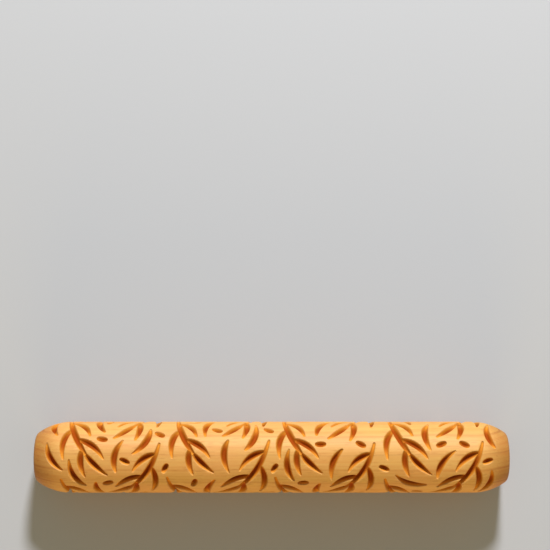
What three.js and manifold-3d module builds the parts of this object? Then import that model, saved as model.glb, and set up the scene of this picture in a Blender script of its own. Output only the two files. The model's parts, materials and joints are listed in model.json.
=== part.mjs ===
// A wooden texture roller for clay: one turned hardwood bar with domed ends, carved all round with
// leafy sprigs, loose leaves and berries. Rolled over a soft slab under the palms, it leaves them
// standing in relief.
// Lengths are in millimetres. X runs along the roller, Z is up, and the origin is the middle of its axis.

import * as THREE from 'three';
import { mergeVertices } from 'three/addons/utils/BufferGeometryUtils.js';
import Module from 'manifold-3d';

const wasm = await Module();
wasm.setup();

// Turned bar
const rollerLength = 200;
const barrelDiameter = 30;
const domeLength = 15; // from the end face to where the barrel is full size
const domeEndDiameter = 19.6; // where the dome would meet the end face with a sharp edge
const endEdgeRounding = 1.2; // taken off that edge, along the dome and across the face
const sidesRound = 28;
const domeSteps = 4;
const edgeSteps = 2;

// Carving: V-shaped grooves, so a groove gets deeper as it gets wider
const wallLean = 0.6; // how far a wall leans out for each millimetre of depth
const shallowestDepth = 0.3;
const cutterRise = 0.8; // how far a cutter stands out of the wood

// Layout: columns of sprigs along the bar, every other column set round by half a row
const plainEnd = 10; // left uncarved at each end, apart from leaf tips
const sprigColumns = 8;
const sprigRows = 3;
const firstRow = 0.25; // of a row, from straight up to the first sprig of an even column
const sprigLean = 53; // degrees from the roller's axis
const sprigLeanSwing = 15;
const leanStep = 2.1;
const sprigScaleSwing = 0.05;
const scaleStep = 1.7;

// One sprig
const stemLength = 25;
const stemTail = 19; // from the sprig's centre back to the foot of its stem
const stemBow = 3.6; // sideways, halfway along
const stemFootSet = 1.8; // sideways, against the bow
const stemTipSet = 0.72; // sideways, with the bow
const stemWidth = { start: 0.8, swell: 1.9, tip: 1.0, widestAt: 0.55 };
const leafWidth = { start: 1.1, swell: 1.9, tip: 0.5, widestAt: 0.44 };
const leafBend = 0.5; // of a leaf's length, before its curl
const leafEnd = 0.55; // of a leaf's length, after its curl
const tipLeafStart = 0.95; // along the stem
const tipLeafLength = 12;
const tipLeafTurn = 20; // degrees
const leaves = [
  { at: 0.2, side: 1, length: 14, opening: 62, curl: 56 },
  { at: 0.43, side: -1, length: 15.5, opening: 58, curl: 56 },
  { at: 0.66, side: 1, length: 14.5, opening: 54, curl: 50 },
  { at: 0.86, side: -1, length: 12, opening: 50, curl: 46 },
];
const stemSteps = 4;
const leafSteps = 3;

// Loose leaves, wherever one fits on the land between the sprigs
const looseLeafLength = 16;
const looseLeafCurl = 60; // degrees
const looseLeafWidth = { start: 0.5, swell: 2.4, tip: 0.4, widestAt: 0.46 };
const looseLeafLand = 1.4; // least land between a loose leaf and its neighbours
const looseLeafOverhang = 4; // how far it may reach past the sprigs towards an end
const looseLeafHeadings = 9; // tried at each spot
const looseLeafDrift = 70; // degrees, from the first heading of one to the first of the next
const looseLeafChecks = 6; // steps between the marks that are tried on one

// Berries, on the land that is left
const berryLength = 4.8;
const berryWidth = 2.4;
const berryLand = 3.1; // from a berry's middle to the nearest groove
const berrySpacing = 9;
const berryTilt = 20; // degrees
const berryTiltSwing = 50;
const berryTiltStep = 1.9;
const berrySteps = 4;

// Search for that land
const searchStep = 2.4;
const marksPerGroove = 12; // steps between the marks that one leaves

// Sizes that follow from those
const halfLength = rollerLength / 2;
const barrelRadius = barrelDiameter / 2;
const barrelCircumference = Math.PI * barrelDiameter;
const domeStart = halfLength - domeLength;
const domeDrop = barrelRadius - domeEndDiameter / 2;
const domeRadius = (domeLength ** 2 + domeDrop ** 2) / (2 * domeDrop);
const halfFacet = Math.PI / sidesRound;
const carvedLength = rollerLength - 2 * plainEnd;

const radians = THREE.MathUtils.degToRad;

// The bar's radius at a distance along it: straight on the barrel, then an arc that leaves it smoothly.
function skinRadius(along) {
  const pastBarrel = Math.max(0, Math.abs(along) - domeStart);
  return barrelRadius - domeRadius + Math.sqrt(Math.max(0, domeRadius ** 2 - pastBarrel ** 2));
}

// A point of the unrolled skin, wrapped back on to the bar. Height is measured out from the skin.
function onSkin(along, around, height) {
  const angle = around / barrelRadius;
  const radius = skinRadius(along) + height;
  return new THREE.Vector3(along, radius * Math.sin(angle), radius * Math.cos(angle));
}

function solidOf(geometry) {
  geometry.deleteAttribute('normal');
  geometry.deleteAttribute('uv');
  const merged = mergeVertices(geometry);
  return new wasm.Manifold(new wasm.Mesh({
    numProp: 3,
    vertProperties: merged.attributes.position.array,
    triVerts: new Uint32Array(merged.index.array),
  }));
}

function geometryOf(solid) {
  const mesh = solid.getMesh();
  const geometry = new THREE.BufferGeometry();
  geometry.setAttribute('position', new THREE.BufferAttribute(mesh.vertProperties, 3));
  geometry.setIndex(new THREE.BufferAttribute(mesh.triVerts, 1));
  geometry.computeVertexNormals();
  return geometry;
}

// The bar before carving. Its flat facets touch the true round, with one facet straight down.
function turnedBar() {
  const edgeEnd = halfLength - endEdgeRounding;
  const domeCentre = new THREE.Vector2(barrelRadius - domeRadius, domeStart);
  const domeEndAngle = Math.asin((edgeEnd - domeStart) / domeRadius);
  const dome = new THREE.EllipseCurve(domeCentre.x, domeCentre.y, domeRadius, domeRadius, 0, domeEndAngle);
  const edge = new THREE.QuadraticBezierCurve(
    new THREE.Vector2(skinRadius(edgeEnd), edgeEnd),
    new THREE.Vector2(domeEndDiameter / 2, halfLength),
    new THREE.Vector2(domeEndDiameter / 2 - endEdgeRounding, halfLength),
  );
  const middleOfEnd = new THREE.Vector2(0, halfLength);
  const upperEnd = [...dome.getPoints(domeSteps), ...edge.getPoints(edgeSteps).slice(1), middleOfEnd];
  const lowerEnd = upperEnd.map((point) => new THREE.Vector2(point.x, -point.y)).reverse();
  const bar = new THREE.LatheGeometry([...lowerEnd, ...upperEnd], sidesRound, halfFacet);
  return bar.scale(1 / Math.cos(halfFacet), 1, 1 / Math.cos(halfFacet)).rotateZ(-Math.PI / 2);
}

// Width along a groove: an even taper from one end to the other, with a swelling between.
function taperedWidth({ start, swell, tip, widestAt }) {
  const skew = Math.log(0.5) / Math.log(widestAt);
  return (t) => THREE.MathUtils.lerp(start, tip, t) + swell * Math.sin(Math.PI * t ** skew);
}

function ovalWidth(t) {
  return berryWidth * Math.sqrt(Math.max(0, 1 - (2 * t - 1) ** 2));
}

// From one point of the unrolled skin to another, by a heading and a distance.
function step(from, heading, distance) {
  return new THREE.Vector2(from.x + distance * Math.cos(heading), from.y + distance * Math.sin(heading));
}

// Heading of a groove's curve, from its three control points.
function headingOf({ v0, v1, v2 }, t) {
  return v1.clone().sub(v0).lerp(v2.clone().sub(v1), t).angle();
}

function leafFrom(root, heading, turn, length, widths) {
  const bend = step(root, heading, length * leafBend);
  const tip = step(bend, heading + turn, length * leafEnd);
  const curve = new THREE.QuadraticBezierCurve(root, bend, tip);
  return { curve, width: taperedWidth(widths), steps: leafSteps };
}

// A sprig's grooves on the unrolled skin: a bowed stem, a leaf at its tip and leaves on alternate sides.
function sprig(centre, heading, scale, bowSide, firstSide) {
  const place = (forward, left) => step(step(centre, heading, forward), heading + Math.PI / 2, left);
  const foot = -stemTail * scale;
  const stem = new THREE.QuadraticBezierCurve(
    place(foot, -bowSide * stemFootSet),
    place(foot + (stemLength * scale) / 2, bowSide * stemBow),
    place(foot + stemLength * scale, bowSide * stemTipSet),
  );
  const grooves = [{ curve: stem, width: taperedWidth(stemWidth), steps: stemSteps }];
  const tipTurn = -bowSide * radians(tipLeafTurn);
  const tipHeading = headingOf(stem, tipLeafStart);
  grooves.push(leafFrom(stem.getPoint(tipLeafStart), tipHeading, tipTurn, tipLeafLength * scale, leafWidth));
  for (const { at, side, length, opening, curl } of leaves) {
    const turn = side * firstSide;
    const leafHeading = headingOf(stem, at) + turn * radians(opening);
    grooves.push(leafFrom(stem.getPoint(at), leafHeading, -turn * radians(curl), length * scale, leafWidth));
  }
  return grooves;
}

function allSprigs() {
  const grooves = [];
  for (let column = 0; column < sprigColumns; column++) {
    for (let row = 0; row < sprigRows; row++) {
      const count = column * sprigRows + row + 1;
      const oddColumn = column % 2;
      const oddSprig = (column + row) % 2;
      const centre = new THREE.Vector2(
        (column - (sprigColumns - 1) / 2) * (carvedLength / sprigColumns),
        (row + firstRow + oddColumn / 2) * (barrelCircumference / sprigRows),
      );
      const lean = radians(sprigLean + sprigLeanSwing * Math.sin(leanStep * count));
      const heading = (oddColumn ? lean : -lean) + oddSprig * Math.PI;
      const scale = 1 + sprigScaleSwing * Math.sin(scaleStep * count);
      grooves.push(...sprig(centre, heading, scale, oddSprig ? 1 : -1, count % 2 ? 1 : -1));
    }
  }
  return grooves;
}

// Circles that cover a groove on the unrolled skin.
function marksOf({ curve, width }, count) {
  return curve.getPoints(count).map((point, i) => ({ point, radius: width(i / count) / 2 }));
}

// Distance on the unrolled skin, the short way round the bar.
function apart(a, b) {
  const round = Math.abs(a.y - b.y) % barrelCircumference;
  return Math.hypot(a.x - b.x, Math.min(round, barrelCircumference - round));
}

// Land between a spot and the nearest mark.
function landAt(spot, marks) {
  return marks.reduce((least, { point, radius }) => Math.min(least, apart(spot, point) - radius), Infinity);
}

// Spots of a grid on the unrolled skin that reaches equally far towards both ends.
function* searchSpots(reach) {
  for (let i = 0; i * searchStep <= 2 * reach; i++) {
    for (let k = 0; k * searchStep < barrelCircumference; k++) {
      yield new THREE.Vector2(i * searchStep - reach, k * searchStep);
    }
  }
}

function allLooseLeaves(sprigGrooves) {
  const marks = sprigGrooves.flatMap((groove) => marksOf(groove, marksPerGroove));
  const reach = carvedLength / 2 + looseLeafOverhang;
  const found = [];
  const fits = (groove) => marksOf(groove, looseLeafChecks).every(({ point, radius }) =>
    Math.abs(point.x) <= reach && landAt(point, marks) - radius >= looseLeafLand);
  for (const spot of searchSpots(reach)) {
    if (landAt(spot, marks) < looseLeafLand + looseLeafWidth.swell / 2) continue;
    const curl = radians(looseLeafCurl) * (found.length % 2 ? 1 : -1);
    const firstHeading = radians(looseLeafDrift) * found.length - curl / 2;
    for (let k = 0; k < looseLeafHeadings; k++) {
      const heading = firstHeading + (2 * Math.PI * k) / looseLeafHeadings;
      const root = step(spot, heading, -looseLeafLength / 2);
      const groove = leafFrom(root, heading, curl, looseLeafLength, looseLeafWidth);
      if (!fits(groove)) continue;
      found.push(groove);
      marks.push(...marksOf(groove, marksPerGroove));
      break;
    }
  }
  return found;
}

function allBerries(grooves) {
  const marks = grooves.flatMap((groove) => marksOf(groove, marksPerGroove));
  const spots = [];
  for (const spot of searchSpots(carvedLength / 2)) {
    const wide = landAt(spot, marks) > berryLand;
    if (wide && spots.every((other) => apart(spot, other) > berrySpacing)) spots.push(spot);
  }
  return spots.map((spot, i) => {
    const heading = radians(berryTilt + berryTiltSwing * Math.sin(berryTiltStep * i));
    const ends = [step(spot, heading, -berryLength / 2), step(spot, heading, berryLength / 2)];
    const curve = new THREE.QuadraticBezierCurve(ends[0], spot, ends[1]);
    return { curve, width: ovalWidth, steps: berrySteps, rounded: true };
  });
}

// The solid that a groove takes out: a V carried along the groove's curve.
function grooveCutter({ curve, width, steps, rounded }) {
  const corners = [];
  for (let i = 0; i <= steps; i++) {
    const t = rounded ? (1 - Math.cos((Math.PI * i) / steps)) / 2 : i / steps;
    const middle = curve.getPoint(t);
    const left = headingOf(curve, t) + Math.PI / 2;
    const depth = Math.max(width(t) / 2 / wallLean, shallowestDepth);
    const halfTop = (depth + cutterRise) * wallLean;
    for (const [side, height] of [[halfTop, cutterRise], [0, -depth], [-halfTop, cutterRise]]) {
      const point = step(middle, left, side);
      corners.push(...onSkin(point.x, point.y, height).toArray());
    }
  }
  const faces = [0, 1, 2];
  for (let i = 0; i < steps; i++) {
    for (let k = 0; k < 3; k++) {
      const [a, b] = [3 * i + k, 3 * i + ((k + 1) % 3)];
      faces.push(a, a + 3, b + 3, a, b + 3, b);
    }
  }
  const last = 3 * steps;
  faces.push(last, last + 2, last + 1);
  const cutter = new THREE.BufferGeometry();
  cutter.setAttribute('position', new THREE.Float32BufferAttribute(corners, 3));
  return cutter.setIndex(faces);
}

function carvedRoller() {
  const grooves = allSprigs();
  grooves.push(...allLooseLeaves(grooves));
  grooves.push(...allBerries(grooves));
  const cutters = grooves.map((groove) => solidOf(grooveCutter(groove)));
  const carved = cutters.reduce((bar, cutter) => bar.subtract(cutter), solidOf(turnedBar()));
  const wood = new THREE.MeshStandardMaterial({ color: 0xdda55f, roughness: 0.5, metalness: 0 });
  const roller = new THREE.Mesh(geometryOf(carved), wood);
  roller.name = 'carved_roller';
  return roller;
}

const textureRoller = new THREE.Group();
textureRoller.add(carvedRoller());

export default textureRoller;
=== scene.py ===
# %% [markdown]
# # A carved wooden texture roller
#
# The object is a palm roller for clay: one bar of pale hardwood, turned round, domed at both ends and
# carved all over with sprigs, loose leaves and berries. Potters roll it under flat hands over a soft
# slab, and every groove leaves a raised line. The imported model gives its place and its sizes, and this
# lesson makes the fine surface: a smoothly turned bar, crisp carving and a finish with real grain.
# The sizes of the wood are in millimetres, and MM turns them into Blender's metres. Only the floor and
# the lights are placed in metres.

# %% Load the fixed frame
import json
import math

import bpy
import numpy as np
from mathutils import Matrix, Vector

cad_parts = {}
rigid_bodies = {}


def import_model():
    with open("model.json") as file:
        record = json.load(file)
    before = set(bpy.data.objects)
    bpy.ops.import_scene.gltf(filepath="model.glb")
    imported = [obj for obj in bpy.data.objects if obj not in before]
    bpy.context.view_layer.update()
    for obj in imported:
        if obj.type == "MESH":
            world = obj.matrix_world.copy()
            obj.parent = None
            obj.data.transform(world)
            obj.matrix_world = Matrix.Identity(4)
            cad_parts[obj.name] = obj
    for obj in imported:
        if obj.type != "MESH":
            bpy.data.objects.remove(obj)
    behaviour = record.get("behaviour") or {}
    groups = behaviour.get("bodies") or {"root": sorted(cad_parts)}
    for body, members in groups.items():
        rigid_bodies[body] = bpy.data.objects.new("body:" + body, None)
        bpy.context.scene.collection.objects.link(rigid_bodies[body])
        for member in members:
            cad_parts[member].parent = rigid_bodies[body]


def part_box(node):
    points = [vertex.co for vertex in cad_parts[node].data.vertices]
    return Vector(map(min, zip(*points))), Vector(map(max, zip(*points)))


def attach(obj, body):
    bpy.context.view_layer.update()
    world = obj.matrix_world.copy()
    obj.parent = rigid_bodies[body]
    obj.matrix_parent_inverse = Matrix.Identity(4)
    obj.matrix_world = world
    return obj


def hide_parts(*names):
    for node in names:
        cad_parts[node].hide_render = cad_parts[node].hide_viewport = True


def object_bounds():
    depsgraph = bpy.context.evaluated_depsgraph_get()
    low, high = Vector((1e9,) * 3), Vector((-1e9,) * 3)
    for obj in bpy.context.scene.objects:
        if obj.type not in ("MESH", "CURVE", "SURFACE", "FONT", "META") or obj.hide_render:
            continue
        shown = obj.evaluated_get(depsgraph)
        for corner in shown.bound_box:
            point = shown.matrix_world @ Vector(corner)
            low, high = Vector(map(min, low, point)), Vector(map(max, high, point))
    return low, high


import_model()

CAD_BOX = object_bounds()
MM = 0.001
low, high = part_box("carved_roller")
HALF_LENGTH = high[0] / MM
BARREL_RADIUS = (high[2] - low[2]) / 2 / MM
print(f"the bar is {2 * HALF_LENGTH:.1f} mm long and {2 * BARREL_RADIUS:.1f} mm thick")

# %% [markdown]
# ## Helpers
#
# An operator works on everything that is selected, so a new piece starts from a clean selection. Each
# helper below does one such chore: it clears the selection, makes one object active, or applies a
# modifier to it.

# %% Selection and modifier helpers
def pick(*objects):
    """Select only these objects, and make the first one active."""
    bpy.ops.object.select_all(action="DESELECT")
    for obj in objects:
        obj.select_set(True)
    bpy.context.view_layer.objects.active = objects[0]


def new_piece(name):
    """Name the object that an operator has just added, and its mesh."""
    piece = bpy.context.object
    piece.name = name
    piece.data.name = name
    return piece


def apply_modifier(obj, kind, **settings):
    """Add a modifier with these settings and apply it at once."""
    pick(obj)
    modifier = obj.modifiers.new(kind, kind)
    for key, value in settings.items():
        setattr(modifier, key, value)
    bpy.ops.object.modifier_apply(modifier=modifier.name)


def print_size(label, obj):
    """Print how many faces a piece has and how large it is."""
    size = " by ".join(f"{length / MM:.2f}" for length in obj.dimensions)
    print(f"{label}: {len(obj.data.polygons)} faces, {size} mm")


# %% [markdown]
# ## The turned bar
#
# On a lathe, the gouge follows one outline while the wood spins. Blender's Spin operator works the same
# way: draw half of the outline, spin it once round the axis, and mirror the half bar. A stretched
# cylinder would be quicker, but its ends would be wrong. The real ends are shallow domes that leave the
# barrel smoothly and meet a small flat face at a softened edge.

# %% Outline of the bar
DOME_LENGTH = 15.0
DOME_END_RADIUS = 9.8
EDGE_ROUNDING = 1.2
DOME_START = HALF_LENGTH - DOME_LENGTH
EDGE_START = HALF_LENGTH - EDGE_ROUNDING
DOME_DROP = BARREL_RADIUS - DOME_END_RADIUS
DOME_RADIUS = (DOME_LENGTH**2 + DOME_DROP**2) / (2 * DOME_DROP)
DOME_STEPS, EDGE_STEPS = 14, 8
END_FACE_RINGS = (0.6, 0.25, 0.0)  # shares of the end face's radius


def skin_radius(along):
    """Radius of the bar at a distance along it, in mm."""
    past_barrel = max(0.0, abs(along) - DOME_START)
    return BARREL_RADIUS - DOME_RADIUS + math.sqrt(max(0.0, DOME_RADIUS**2 - past_barrel**2))


def quadratic(start, middle, end, t):
    """Point of a curve pulled from start to end towards a middle point."""
    return start * (1 - t) ** 2 + middle * (2 * t * (1 - t)) + end * t**2


outline = [Vector((0, 0, BARREL_RADIUS)), Vector((DOME_START, 0, BARREL_RADIUS))]
for i in range(1, DOME_STEPS + 1):
    along = DOME_START + (EDGE_START - DOME_START) * i / DOME_STEPS
    outline.append(Vector((along, 0, skin_radius(along))))
dome_end = outline[-1]
edge_corner = Vector((HALF_LENGTH, 0, DOME_END_RADIUS))
edge_end = Vector((HALF_LENGTH, 0, DOME_END_RADIUS - EDGE_ROUNDING))
for i in range(1, EDGE_STEPS + 1):
    outline.append(quadratic(dome_end, edge_corner, edge_end, i / EDGE_STEPS))
for share in END_FACE_RINGS:
    outline.append(Vector((HALF_LENGTH, 0, edge_end.z * share)))
print(f"the half outline has {len(outline)} points")

# %% Draw the outline, spin it and mirror it
SIDES_ROUND = 208
BARREL_CUTS = 39
SPIN_MERGE = 0.002
SLACK = 0.01

bpy.ops.object.select_all(action="DESELECT")
bpy.ops.mesh.primitive_plane_add(size=MM)
bar = new_piece("carved_bar")
bpy.ops.object.mode_set(mode="EDIT")
bpy.ops.mesh.merge(type="CENTER")
bpy.ops.transform.translate(value=outline[0] * MM)
for here, there in zip(outline, outline[1:]):
    bpy.ops.mesh.extrude_region_move(TRANSFORM_OT_translate={"value": (there - here) * MM})
bpy.ops.object.mode_set(mode="OBJECT")
for edge in bar.data.edges:
    edge.select = all(bar.data.vertices[v].co.x < (DOME_START + SLACK) * MM for v in edge.vertices)
bpy.ops.object.mode_set(mode="EDIT")
bpy.ops.mesh.subdivide(number_cuts=BARREL_CUTS)
bpy.ops.mesh.select_all(action="SELECT")
bpy.ops.mesh.spin(steps=SIDES_ROUND, angle=2 * math.pi, center=(0, 0, 0), axis=(1, 0, 0))
bpy.ops.mesh.select_all(action="SELECT")
bpy.ops.mesh.remove_doubles(threshold=SPIN_MERGE * MM)
bpy.ops.mesh.normals_make_consistent(inside=False)
bpy.ops.object.mode_set(mode="OBJECT")
print_size("half bar", bar)

apply_modifier(bar, "MIRROR", use_axis=(True, False, False), merge_threshold=SLACK * MM)
print_size("turned bar", bar)

# %% [markdown]
# ## The drawing to be carved
#
# The carving is drawn flat first, as on a sheet of paper wrapped round the bar: one coordinate runs
# along the axis and the other round the circumference. Each sprig is a bowed stem with a leaf at its
# tip and leaves on alternate sides. The sprigs stand in columns, and every other column is set round
# by half a row, so the drawing meets itself without a seam.

# %% Strokes of the drawing
LEAF_BEND, LEAF_TIP = 0.5, 0.55  # lengths before and after a leaf's bend, as shares of the leaf


def step(start, heading, distance):
    """A point at a heading and a distance from another one, on the flat drawing."""
    return start + Vector((math.cos(heading), math.sin(heading))) * distance


def tapered_width(start, swell, tip, widest_at):
    """Width along a stroke: an even taper with a swelling between its ends."""
    skew = math.log(0.5) / math.log(widest_at)
    return lambda t: start + (tip - start) * t + swell * math.sin(math.pi * t**skew)


class Stroke:
    """A curved stroke of the flat drawing, with its width at each share of its length."""

    def __init__(self, start, middle, end, width):
        self.start, self.middle, self.end, self.width = start, middle, end, width

    def point(self, t):
        return quadratic(self.start, self.middle, self.end, t)

    def heading(self, t):
        way = (self.middle - self.start) * (1 - t) + (self.end - self.middle) * t
        return math.atan2(way.y, way.x)


def leaf(root, heading, turn, length, width):
    """A stroke that sets out at a heading and turns halfway along."""
    bend = step(root, heading, length * LEAF_BEND)
    tip = step(bend, heading + turn, length * LEAF_TIP)
    return Stroke(root, bend, tip, width)


# %% One sprig
STEM_LENGTH, STEM_TAIL = 25.0, 19.0
STEM_BOW, STEM_FOOT_SET, STEM_TIP_SET = 3.6, 1.8, 0.72
TIP_LEAF_START, TIP_LEAF_LENGTH, TIP_LEAF_TURN = 0.95, 12.0, 20
SIDE_LEAVES = [  # place along the stem, side, length, opening and curl in degrees
    (0.20, 1, 14.0, 62, 56),
    (0.43, -1, 15.5, 58, 56),
    (0.66, 1, 14.5, 54, 50),
    (0.86, -1, 12.0, 50, 46),
]
stem_width = tapered_width(start=0.8, swell=1.9, tip=1.0, widest_at=0.55)
leaf_width = tapered_width(start=1.1, swell=1.9, tip=0.5, widest_at=0.44)


def sprig(centre, heading, scale, bow_side, first_side):
    """A stem, the leaf at its tip, and leaves on alternate sides."""
    def place(forward, left):
        return step(step(centre, heading, forward), heading + math.pi / 2, left * bow_side)

    foot = -STEM_TAIL * scale
    reach = STEM_LENGTH * scale
    stem = Stroke(
        place(foot, -STEM_FOOT_SET),
        place(foot + reach / 2, STEM_BOW),
        place(foot + reach, STEM_TIP_SET),
        stem_width,
    )
    tip_turn = -bow_side * math.radians(TIP_LEAF_TURN)
    tip_root = stem.point(TIP_LEAF_START)
    tip_heading = stem.heading(TIP_LEAF_START)
    strokes = [stem, leaf(tip_root, tip_heading, tip_turn, TIP_LEAF_LENGTH * scale, leaf_width)]
    for at, side, length, opening, curl in SIDE_LEAVES:
        turn = side * first_side
        outwards = stem.heading(at) + turn * math.radians(opening)
        strokes.append(leaf(stem.point(at), outwards, -turn * math.radians(curl), length * scale, leaf_width))
    return strokes


# %% All the sprigs
CIRCUMFERENCE = 2 * math.pi * BARREL_RADIUS
PLAIN_END = 10.0
CARVED_LENGTH = 2 * (HALF_LENGTH - PLAIN_END)
COLUMNS, ROWS = 8, 3
FIRST_ROW = 0.25
LEAN, LEAN_SWING, LEAN_STEP = 53, 15, 2.1
SCALE_SWING, SCALE_STEP = 0.05, 1.7

sprigs = []
for column in range(COLUMNS):
    for row in range(ROWS):
        count = column * ROWS + row + 1
        odd_column, odd_sprig = column % 2, (column + row) % 2
        centre = Vector((
            (column - (COLUMNS - 1) / 2) * CARVED_LENGTH / COLUMNS,
            (row + FIRST_ROW + odd_column / 2) * CIRCUMFERENCE / ROWS,
        ))
        lean = math.radians(LEAN + LEAN_SWING * math.sin(LEAN_STEP * count))
        heading = (lean if odd_column else -lean) + odd_sprig * math.pi
        scale = 1 + SCALE_SWING * math.sin(SCALE_STEP * count)
        sprigs.append(sprig(centre, heading, scale, 1 if odd_sprig else -1, 1 if count % 2 else -1))
print(f"{len(sprigs)} sprigs of {len(sprigs[0])} strokes")

# %% [markdown]
# ## Loose leaves and berries
#
# Sprigs alone would leave wide patches of bare land, and the clay would come out with dull flats between
# them. A carver fills such patches by eye. Here a search does it: it goes over a grid of spots, lays a
# leaf wherever one keeps clear of its neighbours, and then a berry on what is left. The strokes are
# stood in for by circles along them, so the land at a spot is its distance to the nearest circle.

# %% The land between the strokes
SEARCH_STEP = 2.4
MARK_STEPS = 12


def marks_of(strokes, steps=MARK_STEPS):
    """Circles that cover these strokes: x, y and radius of each."""
    shares = [i / steps for i in range(steps + 1)]
    return np.array([(*stroke.point(t), stroke.width(t) / 2) for stroke in strokes for t in shares])


def land_at(x, y, marks):
    """Distance to the nearest circle, the short way round the bar."""
    around = np.abs(marks[:, 1] - y) % CIRCUMFERENCE
    around = np.minimum(around, CIRCUMFERENCE - around)
    return (np.hypot(marks[:, 0] - x, around) - marks[:, 2]).min()


def search_spots(reach):
    """Spots of a grid on the flat drawing that reaches equally far towards both ends."""
    for i in range(int(2 * reach / SEARCH_STEP) + 1):
        for k in range(math.ceil(CIRCUMFERENCE / SEARCH_STEP)):
            yield i * SEARCH_STEP - reach, k * SEARCH_STEP


# %% Loose leaves
LOOSE_LENGTH, LOOSE_SWELL, LOOSE_CURL = 16.0, 2.4, math.radians(60)
LOOSE_LAND, LOOSE_OVERHANG = 1.4, 4.0
LOOSE_HEADINGS, LOOSE_DRIFT = 9, math.radians(70)
LOOSE_CHECKS = 6
LOOSE_REACH = CARVED_LENGTH / 2 + LOOSE_OVERHANG
loose_width = tapered_width(start=0.5, swell=LOOSE_SWELL, tip=0.4, widest_at=0.46)


def fits(stroke, marks):
    """Whether a loose leaf keeps clear of every mark and of the bar's ends."""
    return all(
        abs(x) <= LOOSE_REACH and land_at(x, y, marks) - radius >= LOOSE_LAND
        for x, y, radius in marks_of([stroke], LOOSE_CHECKS)
    )


loose_leaves = []
marks = marks_of([stroke for one in sprigs for stroke in one])
for x, y in search_spots(LOOSE_REACH):
    if land_at(x, y, marks) < LOOSE_LAND + LOOSE_SWELL / 2:
        continue
    curl = LOOSE_CURL * (1 if len(loose_leaves) % 2 else -1)
    first_heading = LOOSE_DRIFT * len(loose_leaves) - curl / 2
    for k in range(LOOSE_HEADINGS):
        heading = first_heading + 2 * math.pi * k / LOOSE_HEADINGS
        root = step(Vector((x, y)), heading, -LOOSE_LENGTH / 2)
        stroke = leaf(root, heading, curl, LOOSE_LENGTH, loose_width)
        if fits(stroke, marks):
            loose_leaves.append(stroke)
            marks = np.vstack([marks, marks_of([stroke])])
            break
print(f"{len(loose_leaves)} loose leaves")

# %% Berries
BERRY_LENGTH, BERRY_WIDTH = 4.8, 2.4
BERRY_LAND, BERRY_SPACING = 3.1, 9.0
BERRY_TILT, BERRY_TILT_SWING, BERRY_TILT_STEP = 20, 50, 1.9


def oval_width(t):
    return BERRY_WIDTH * math.sqrt(max(0.0, 1 - (2 * t - 1) ** 2))


spots = np.empty((0, 3))
for x, y in search_spots(CARVED_LENGTH / 2):
    if land_at(x, y, marks) > BERRY_LAND and (len(spots) == 0 or land_at(x, y, spots) > BERRY_SPACING):
        spots = np.vstack([spots, (x, y, 0.0)])
berries = []
for i, (x, y, _) in enumerate(spots):
    heading = math.radians(BERRY_TILT + BERRY_TILT_SWING * math.sin(BERRY_TILT_STEP * i))
    middle = Vector((x, y))
    start = step(middle, heading, -BERRY_LENGTH / 2)
    berries.append(Stroke(start, middle, step(middle, heading, BERRY_LENGTH / 2), oval_width))
print(f"{len(berries)} berries")

# %% [markdown]
# ## The carving tool
#
# A V-shaped cutter sinks deeper where a stroke is wide and skims the wood where it is narrow. Its tip
# leaves a slightly rounded floor, and sanding then softens the lips of the groove. One straight cutter
# is modelled with all of this in its section, which is drawn point by point and extruded in short
# steps. Each stroke gets a copy that is bent along the drawing and wrapped round the bar. A bend
# modifier could wrap the drawing too, but only on to a plain cylinder, and these strokes run out over
# the domes.

# %% One straight cutter, a millimetre wide on each side
CUT_DEPTH = 1.66
FLARE, FLARE_RISE = 0.38, 0.266
half_section = [  # distance from the middle and height above the wood, from the flared top to the floor
    (1 + FLARE, FLARE_RISE),
    (0.9, -0.07),
    (0.77, -0.28),
    (0.63, -0.95),
    (0.46, -1.38),
    (0.24, -1.61),
]
section = half_section + [(0, -CUT_DEPTH)] + [(-across, up) for across, up in reversed(half_section)]
print(f"the cutter's section has {len(section)} points")


def straight_cutter(name, steps):
    """A cutter from x = 0 to 1, with rings of points that stand closer towards its ends."""
    bpy.ops.object.select_all(action="DESELECT")
    bpy.ops.mesh.primitive_plane_add(size=MM)
    cutter = new_piece(name)
    bpy.ops.object.mode_set(mode="EDIT")
    bpy.ops.mesh.merge(type="CENTER")
    bpy.ops.transform.translate(value=(0, *section[0]))
    for here, there in zip(section, section[1:]):
        move = Vector((0, there[0] - here[0], there[1] - here[1]))
        bpy.ops.mesh.extrude_region_move(TRANSFORM_OT_translate={"value": move})
    bpy.ops.mesh.select_all(action="SELECT")
    bpy.ops.mesh.edge_face_add()
    stations = [(1 - math.cos(math.pi * i / steps)) / 2 for i in range(steps + 1)]
    for here, there in zip(stations, stations[1:]):
        bpy.ops.mesh.extrude_region_move(TRANSFORM_OT_translate={"value": (there - here, 0, 0)})
    bpy.ops.mesh.select_all(action="SELECT")
    bpy.ops.mesh.normals_make_consistent(inside=False)
    bpy.ops.object.mode_set(mode="OBJECT")
    return cutter


# %% Wrap a cutter round the bar
NARROWEST = 0.16  # half the width of the thinnest groove
SANDED = 0.3      # how much wider sanding makes a groove on each side
END_SHARE = 0.03  # share of a stroke that its rounded end takes


def on_skin(along, around, height):
    """A point of the flat drawing on the bar, in metres, with its height above the wood."""
    angle = around / BARREL_RADIUS
    radius = skin_radius(along) + height
    return Vector((along, radius * math.sin(angle), radius * math.cos(angle))) * MM


def end_rounding(t):
    """Share of its width that a stroke has close to one of its rounded ends."""
    return math.sqrt(1 - (1 - min(1, t / END_SHARE, (1 - t) / END_SHARE)) ** 2)


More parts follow.
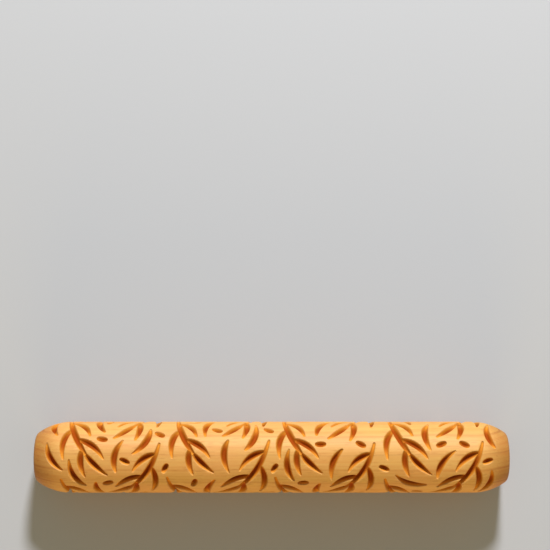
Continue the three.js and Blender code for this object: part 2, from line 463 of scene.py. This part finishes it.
def lay_on_bar(cutter, stroke):
    """Bend a copy of the straight cutter along a stroke and wrap it round the bar."""
    laid = cutter.copy()
    laid.data = cutter.data.copy()
    bpy.context.collection.objects.link(laid)
    for vertex in laid.data.vertices:
        t, across, up = vertex.co
        half_width = max(stroke.width(t) / 2 * end_rounding(t), NARROWEST)
        if up > 0:  # the flare keeps its size and only moves with the edge of the groove
            across += math.copysign(half_width + SANDED - 1, across)
        else:
            across *= half_width + SANDED
            up *= half_width
        place = step(stroke.point(t), stroke.heading(t) + math.pi / 2, across)
        vertex.co = on_skin(place.x, place.y, up)
    return laid


def carve(cutter, strokes):
    """Cut all these strokes into the bar in one Boolean."""
    laid = [lay_on_bar(cutter, stroke) for stroke in strokes]
    pick(*laid)
    bpy.ops.object.join()
    batch = bpy.context.object
    apply_modifier(bar, "BOOLEAN", operation="DIFFERENCE", solver="MANIFOLD", object=batch)
    bpy.data.objects.remove(batch)
    print(f"{len(strokes)} strokes cut: {len(bar.data.polygons)} faces")


# %% Cut the stems, the leaves and the berries
STEM_STEPS, LEAF_STEPS, BERRY_STEPS = 28, 17, 12
stem_cutter = straight_cutter("stem_cutter", STEM_STEPS)
leaf_cutter = straight_cutter("leaf_cutter", LEAF_STEPS)
berry_cutter = straight_cutter("berry_cutter", BERRY_STEPS)
carve(stem_cutter, [one[0] for one in sprigs])
for number in range(1, len(sprigs[0])):
    carve(leaf_cutter, [one[number] for one in sprigs])
carve(leaf_cutter, loose_leaves)
carve(berry_cutter, berries)
for cutter in (stem_cutter, leaf_cutter, berry_cutter):
    bpy.data.objects.remove(cutter)

# %% [markdown]
# ## Splinters
#
# Where grooves meet, the cutters can leave a splinter that hangs on nothing. A carver brushes the bar
# down at the end. Here one end of the bar is selected with all that is joined to it, and whatever is
# left over goes. The faces become triangles last, in the same pass.

# %% Brush the bar down
SMOOTH_ANGLE = math.radians(33)
pick(bar)
bpy.ops.object.mode_set(mode="EDIT")
bpy.ops.mesh.select_all(action="DESELECT")
bpy.ops.object.mode_set(mode="OBJECT")
for vertex in bar.data.vertices:
    vertex.select = vertex.co.x > EDGE_START * MM
bpy.ops.object.mode_set(mode="EDIT")
bpy.ops.mesh.select_linked()
bpy.ops.mesh.select_all(action="INVERT")
bpy.ops.mesh.delete(type="VERT")
bpy.ops.mesh.select_all(action="SELECT")
bpy.ops.mesh.quads_convert_to_tris()
bpy.ops.object.mode_set(mode="OBJECT")
bpy.ops.object.shade_smooth_by_angle(angle=SMOOTH_ANGLE)
print(f"finished bar: {len(bar.data.polygons)} triangles")
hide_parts("carved_roller")
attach(bar, "root")

# %% [markdown]
# ## Tools for the finish
#
# A finish is a tree of shader nodes. An effect with a name of its own, such as growth rings or fibres,
# goes in a node group: it is made once, and each use gives it its own sizes. Every pattern is measured
# in millimetres from the middle of the bar, so the grain runs through the wood as it does in a real
# bar, and the side of a groove shows the grain that the cutter has uncovered.

# %% Helpers for shader nodes
def fill(node, values):
    """Set a node's inputs, by name or number, to constants or to other nodes' outputs."""
    for key, value in values.items():
        if isinstance(value, bpy.types.NodeSocket):
            node.id_data.links.new(value, node.inputs[key])
        else:
            node.inputs[key].default_value = value
    return node.outputs


def add_node(tree, kind, values=None, **settings):
    """Add a node with these options and inputs, and give its outputs."""
    node = tree.nodes.new(kind)
    for key, value in settings.items():
        setattr(node, key, value)
    return fill(node, values or {})


def maths(tree, operation, *values):
    return add_node(tree, "ShaderNodeMath", dict(enumerate(values)), operation=operation)[0]


def vector_maths(tree, operation, *values):
    return add_node(tree, "ShaderNodeVectorMath", dict(enumerate(values)), operation=operation)[0]


def ramp(tree, value, low, high, to_low=0.0, to_high=1.0):
    """Spread a value's range from low to high smoothly over another range."""
    values = {"Value": value, "From Min": low, "From Max": high, "To Min": to_low, "To Max": to_high}
    return add_node(tree, "ShaderNodeMapRange", values, interpolation_type="SMOOTHSTEP")[0]


def mixed(tree, factor, first, second, blend="MIX"):
    """Blend a second colour over a first one. A Mix node's colours are its inputs 6 and 7 and output 2."""
    values = {0: factor, 6: first, 7: second}
    return add_node(tree, "ShaderNodeMix", values, data_type="RGBA", blend_type=blend)[2]


def make_group(name, takes, gives):
    """A node group with named sockets, and the ends that its inputs and outputs join on to."""
    tree = bpy.data.node_groups.new(name, "ShaderNodeTree")
    for way, names in (("INPUT", takes), ("OUTPUT", gives)):
        for socket in names:
            kind = "NodeSocketVector" if socket == "Place" else "NodeSocketFloat"
            tree.interface.new_socket(socket, in_out=way, socket_type=kind)
    return tree, tree.nodes.new("NodeGroupInput").outputs, tree.nodes.new("NodeGroupOutput")


def colour(red, green, blue):
    """A colour given as on screen, as the light values that a shader works in, by the usual screen curve."""
    light = (c / 255 / 12.92 if c < 11 else ((c / 255 + 0.055) / 1.055) ** 2.4 for c in (red, green, blue))
    return (*light, 1.0)


# %% [markdown]
# ## Growth rings, fibres and flecks
#
# A tree's rings are nested tubes round its pith. The bar was sawn well away from the pith, so its rings
# show as nearly straight lines along the barrel and as arcs on the end faces. One group measures the
# distance from the pith and turns it into rings: each gets slowly darker towards its late wood and then
# breaks off, and each year has a tone of its own. A second group draws the fine fibres, as noise that is
# stretched along the bar, and a third the short dark flecks that pale hardwoods show.

# %% Growth rings
PITH = (0.0, -150.0, -34.0)
WANDER_SCALE = (0.011, 0.05, 0.05)
NOISE_MIDDLE = 0.5
LATE_POWER, LATE_END = 2.2, 0.82


def from_axis(tree, place):
    """Distance of a place from the line through the origin that runs along the bar."""
    across = vector_maths(tree, "MULTIPLY", place, (0, 1, 1))
    return add_node(tree, "ShaderNodeVectorMath", {0: across}, operation="LENGTH")["Value"]


rings, taken, given = make_group("growth_rings", ["Place", "Spacing", "Waviness"], ["Late wood", "Ring tone"])
from_pith = from_axis(rings, vector_maths(rings, "SUBTRACT", taken["Place"], PITH))
slow = vector_maths(rings, "MULTIPLY", taken["Place"], WANDER_SCALE)
wander = add_node(rings, "ShaderNodeTexNoise", {"Vector": slow, "Scale": 1.0, "Detail": 2.5})[0]
sideways = maths(rings, "SUBTRACT", wander, NOISE_MIDDLE)
bent = maths(rings, "MULTIPLY_ADD", sideways, taken["Waviness"], from_pith)
ring = maths(rings, "DIVIDE", bent, taken["Spacing"])
across_ring = maths(rings, "FRACT", ring)
darkening = maths(rings, "POWER", across_ring, LATE_POWER)
breaking_off = ramp(rings, across_ring, LATE_END, 1.0, to_low=1.0, to_high=0.0)
late = maths(rings, "MULTIPLY", darkening, breaking_off)
year = maths(rings, "FLOOR", ring)
tone = add_node(rings, "ShaderNodeTexWhiteNoise", {"W": year}, noise_dimensions="1D")[0]
fill(given, {"Late wood": late, "Ring tone": tone})

# %% Fibres and flecks
FIBRE_RANGE = (0.3, 0.7)
FLECK_EDGE = (0.12, 0.42)


def drawn_out(tree, taken):
    """The place, squeezed so that a pattern on it gets the length and width that the group takes."""
    size = {0: taken["Length"], 1: taken["Width"], 2: taken["Width"]}
    return vector_maths(tree, "DIVIDE", taken["Place"], add_node(tree, "ShaderNodeCombineXYZ", size)[0])


fibres, taken, given = make_group("wood_fibres", ["Place", "Length", "Width"], ["Fibre"])
squeezed = drawn_out(fibres, taken)
fibre = add_node(fibres, "ShaderNodeTexNoise", {"Vector": squeezed, "Scale": 1.0, "Detail": 3.0})[0]
fill(given, {"Fibre": ramp(fibres, fibre, *FIBRE_RANGE)})

flecks, taken, given = make_group("wood_flecks", ["Place", "Length", "Width", "Share"], ["Fleck"])
cells = add_node(flecks, "ShaderNodeTexVoronoi", {"Vector": drawn_out(flecks, taken), "Scale": 0.5})
chance = add_node(flecks, "ShaderNodeSeparateColor", {0: cells["Color"]})[0]
chosen = maths(flecks, "LESS_THAN", chance, taken["Share"])
spot = ramp(flecks, cells["Distance"], *FLECK_EDGE, to_low=1.0, to_high=0.0)
fill(given, {"Fleck": maths(flecks, "MULTIPLY", spot, chosen)})
for group in (rings, fibres, flecks):
    print(f"nodes in the group {group.name}: {len(group.nodes)}")

# %% [markdown]
# ## Depth of the cut
#
# The lips of the carving are as pale as the land, and deeper in a groove the colour is painted darker,
# as painted shade. The bar's own outline says how far out the wood reached before carving. What a point
# lacks of that radius is its depth, so one small sum paints every groove, on the barrel and on the
# domes, with no mask to draw. The same group says how far a point lies out on a dome, where the fibres
# are cut across.

# %% Depth below the turned skin
EDGE_MARGIN = 0.3
CUT_LIP = (0.12, 0.75)  # depths at which the colour of the cut sets in and is full
END_GRAIN_START = 2.0

carving, taken, given = make_group("carved_depth", ["Place"], ["Depth", "Cut", "End grain"])
along = maths(carving, "ABSOLUTE", add_node(carving, "ShaderNodeSeparateXYZ", {0: taken["Place"]})[0])
past_barrel = maths(carving, "MAXIMUM", maths(carving, "SUBTRACT", along, DOME_START), 0.0)
arc = maths(carving, "SUBTRACT", DOME_RADIUS**2, maths(carving, "MULTIPLY", past_barrel, past_barrel))
skin = maths(carving, "ADD", maths(carving, "SQRT", arc), BARREL_RADIUS - DOME_RADIUS)
below_skin = maths(carving, "SUBTRACT", skin, from_axis(carving, taken["Place"]))
before_edge = maths(carving, "LESS_THAN", along, EDGE_START - EDGE_MARGIN)
depth = maths(carving, "MULTIPLY", below_skin, before_edge)
fill(given, {
    "Depth": depth,
    "Cut": ramp(carving, depth, *CUT_LIP),
    "End grain": ramp(carving, past_barrel, END_GRAIN_START, DOME_LENGTH),
})
print(f"nodes in the group {carving.name}: {len(carving.nodes)}")

# %% [markdown]
# ## Oiled wood with painted shade in the carving
#
# Pale hardwood glows because its colour varies at every scale: broad warm patches, rings less than two
# millimetres apart, the darker lines of dry years about six apart, streaks, fine fibres and flecks. Each
# layer is faint, and together they read as wood. Where the fibres are cut across, on the ends, rings and
# fibres show more and the wood is darker. The cut wood is a deeper amber, painted darker with depth as
# painted shade in the grooves. Oil leaves a soft shine on the land, which the fibres break up, while the
# grooves are nearly matt.

# %% Patterns in the wood
DRY_YEAR_EDGE = (0.5, 0.64)

wood = bpy.data.materials.new("oiled_carved_wood")
wood.use_nodes = True
tree = wood.node_tree
place = add_node(tree, "ShaderNodeTexCoord")["Object"]
place = add_node(tree, "ShaderNodeVectorMath", {0: place, 3: 1 / MM}, operation="SCALE")[0]


def pattern(group, **sizes):
    """One use of a group in the wood, with its own sizes."""
    return add_node(tree, "ShaderNodeGroup", {"Place": place, **sizes}, node_tree=group)


ring = pattern(rings, Spacing=1.7, Waviness=5.0)
dry_year = pattern(rings, Spacing=6.2, Waviness=5.0)
dark_line = ramp(tree, dry_year["Late wood"], *DRY_YEAR_EDGE)
patch = pattern(fibres, Length=34.0, Width=9.0)[0]
streak = pattern(fibres, Length=46.0, Width=1.7)[0]
fibre = pattern(fibres, Length=9.0, Width=0.2)[0]
fleck = pattern(flecks, Length=2.6, Width=0.3, Share=0.3)[0]
cut = pattern(carving)

# %% Colours of the land and of the cut
END_CONTRAST, END_SHADE = 0.9, 0.8
# depths over which the cut's colour is painted darker, as painted shade in the grooves
PAINTED_SHADE_DEPTHS = (0.7, 2.2)
CUT_FIBRES = 0.25

on_end = maths(tree, "MULTIPLY_ADD", cut["End grain"], END_CONTRAST, 1.0)
land = mixed(tree, ring["Ring tone"], colour(217, 170, 90), colour(213, 163, 82))
layers = [  # where it shows, how strongly, its colour, and whether the ends show it more
    (ring["Late wood"], 0.3, colour(190, 120, 44), True),
    (dark_line, 0.3, colour(164, 100, 36), True),
    (patch, 0.45, colour(222, 152, 86), False),
    (streak, 0.3, colour(204, 130, 56), False),
    (fibre, 0.14, colour(172, 98, 38), True),
    (fleck, 0.3, colour(158, 84, 30), False),
]
for mask, strength, tint, more_on_end in layers:
    shows = maths(tree, "MULTIPLY", mask, strength)
    if more_on_end:
        shows = maths(tree, "MULTIPLY", shows, on_end)
    land = mixed(tree, shows, land, tint)
shaded = mixed(tree, 1.0, land, colour(202, 184, 140), blend="MULTIPLY")
land = mixed(tree, maths(tree, "MULTIPLY", cut["End grain"], END_SHADE), land, shaded)

# painted shade: the cut wood's amber is painted darker red-brown with depth, where shade falls in a groove
cut_with_painted_shade = mixed(tree, ramp(tree, cut["Depth"], *PAINTED_SHADE_DEPTHS), colour(220, 146, 44), colour(152, 68, 4))
cut_with_painted_shade = mixed(tree, maths(tree, "MULTIPLY", fibre, CUT_FIBRES), cut_with_painted_shade, colour(126, 50, 1))
surface = mixed(tree, cut["Cut"], land, cut_with_painted_shade)

# %% Shine and relief
LAND_ROUGHNESS, FIBRE_ROUGHNESS, CUT_ROUGHNESS = 0.56, 0.12, 0.12
FIBRE_RELIEF, FLECK_RELIEF = -0.6, -1.0
RELIEF_DEPTH = 0.02 * MM
OIL = 0.5

rough = maths(tree, "ADD", maths(tree, "MULTIPLY", fibre, FIBRE_ROUGHNESS), LAND_ROUGHNESS)
rough = maths(tree, "MULTIPLY_ADD", cut["Cut"], CUT_ROUGHNESS, rough)
relief = maths(tree, "MULTIPLY_ADD", fibre, FIBRE_RELIEF, maths(tree, "MULTIPLY", fleck, FLECK_RELIEF))
bump = add_node(tree, "ShaderNodeBump", {"Height": relief, "Strength": 0.5, "Distance": RELIEF_DEPTH})[0]
oil = maths(tree, "MULTIPLY_ADD", cut["Cut"], -OIL, OIL)
shader = tree.nodes["Principled BSDF"]
fill(shader, {"Base Color": surface, "Roughness": rough, "Normal": bump, "Specular IOR Level": 0.08})
fill(shader, {"Coat Weight": oil, "Coat Roughness": 0.55})
bar.data.materials.clear()
bar.data.materials.append(wood)
print(f"nodes in the finish: {len(tree.nodes)}")

# %% [markdown]
# ## Floor, light and camera
#
# The photograph looks straight down, with the roller low in the picture. The main light comes in from
# the far side, about a third of the way up, so every groove has one bright side and one dark side, and
# the roller's shadow falls towards the viewer. A broad, faint, warm light from the near side keeps the
# shaded half of the bar from going dull.

# %% Floor
FLOOR_SIZE = 6.0
bpy.ops.object.select_all(action="DESELECT")
bpy.ops.mesh.primitive_plane_add(size=FLOOR_SIZE, location=(0, 0, CAD_BOX[0][2]))
floor_plane = new_piece("floor")
pale = bpy.data.materials.new("pale_floor")
pale.use_nodes = True
fill(pale.node_tree.nodes["Principled BSDF"], {"Base Color": colour(183, 185, 185), "Roughness": 0.85})
floor_plane.data.materials.append(pale)
print(f"the floor is {FLOOR_SIZE:.0f} m wide")

# %% Light
WINDOW_TINT, NEAR_TINT = (0.92, 0.925, 1.0), (0.98, 0.68, 0.18)
ROOM_TINT = (1.0, 0.93, 0.74, 1.0)


def soft_light(name, azimuth, elevation, distance, size, watts, tint):
    """A round area light aimed at the middle of the bar. Azimuth turns from +Y towards +X."""
    turn, rise = math.radians(azimuth), math.radians(elevation)
    towards = Vector((math.sin(turn) * math.cos(rise), math.cos(turn) * math.cos(rise), math.sin(rise)))
    aim = towards.to_track_quat("Z", "Y").to_euler()
    bpy.ops.object.light_add(type="AREA", location=towards * distance, rotation=aim)
    light = new_piece(name)
    light.data.shape = "DISK"
    light.data.size = size
    light.data.energy = watts
    light.data.color = tint
    print(f"{name}: {watts} W from {distance} m")


soft_light("window_light", azimuth=7, elevation=34, distance=1.5, size=0.22, watts=32.5, tint=WINDOW_TINT)
soft_light("near_light", azimuth=180, elevation=5, distance=1.2, size=0.6, watts=10.7, tint=NEAR_TINT)
world = bpy.data.worlds.new("room")
bpy.context.scene.world = world
world.use_nodes = True
fill(world.node_tree.nodes["Background"], {"Color": ROOM_TINT, "Strength": 0.33})

# %% Camera
VIEW_CENTRE = Vector((1.4, 77.5)) * MM
VIEW_WIDTH = 234.1 * MM
LENS, SENSOR_WIDTH = 100, 36
bpy.ops.object.camera_add(location=(0, 0, 0), rotation=(0, 0, 0))
camera = bpy.context.object
camera.data.lens = LENS
camera.data.sensor_width = SENSOR_WIDTH
camera.location = (*VIEW_CENTRE, VIEW_WIDTH * LENS / SENSOR_WIDTH)
bpy.context.scene.camera = camera
bpy.context.scene.view_settings.view_transform = "Standard"
print(f"the camera looks down from {camera.location.z:.2f} m")
